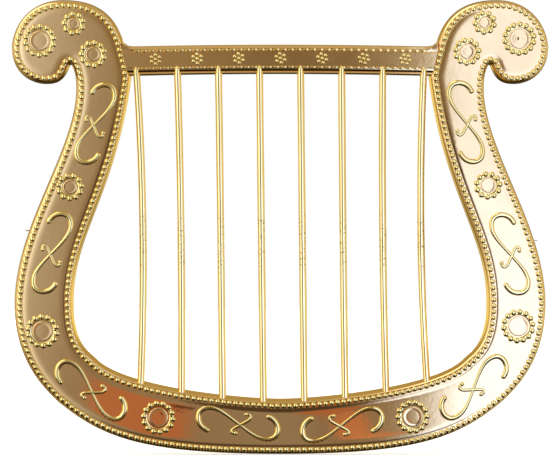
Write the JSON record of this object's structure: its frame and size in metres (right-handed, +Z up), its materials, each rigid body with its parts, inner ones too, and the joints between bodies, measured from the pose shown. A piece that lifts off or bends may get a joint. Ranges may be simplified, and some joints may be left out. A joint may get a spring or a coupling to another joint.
{
  "type": "lyre",
  "caption": "Flat gold decoration lyre: U-shaped frame with curled arms, beaded edges and scrollwork, an arched crossbar and upright rod strings.",
  "frame": {"origin": "under the middle of the frame, at its lowest point, midway between front and back", "axes": "+X along the width to the right seen from the front, +Z up along the strings, the decorated front faces -Y"},
  "size_m": [0.3, 0.018, 0.254],
  "materials": {
    "shell_gold": "metallised gold, mirror bright with small pits",
    "cover_gold": "metallised gold, satin",
    "string_gold": "metallised gold, rubbed in places",
    "screw_steel": "zinc plated"
  },
  "bodies": {
    "root": {"front_shell": "shell_gold", "back_cover": "cover_gold", "crossbar": "shell_gold", "crossbar_cover": "cover_gold", "string_1": "string_gold", "string_2": "string_gold", "string_3": "string_gold", "string_4": "string_gold", "string_5": "string_gold", "string_6": "string_gold", "string_7": "string_gold", "string_8": "string_gold", "frame_screw_1": "screw_steel", "frame_screw_2": "screw_steel", "frame_screw_3": "screw_steel", "frame_screw_4": "screw_steel", "frame_screw_5": "screw_steel", "frame_screw_6": "screw_steel", "frame_screw_7": "screw_steel", "frame_screw_8": "screw_steel", "crossbar_screw_1": "screw_steel", "crossbar_screw_2": "screw_steel"}
  },
  "joints": []
}
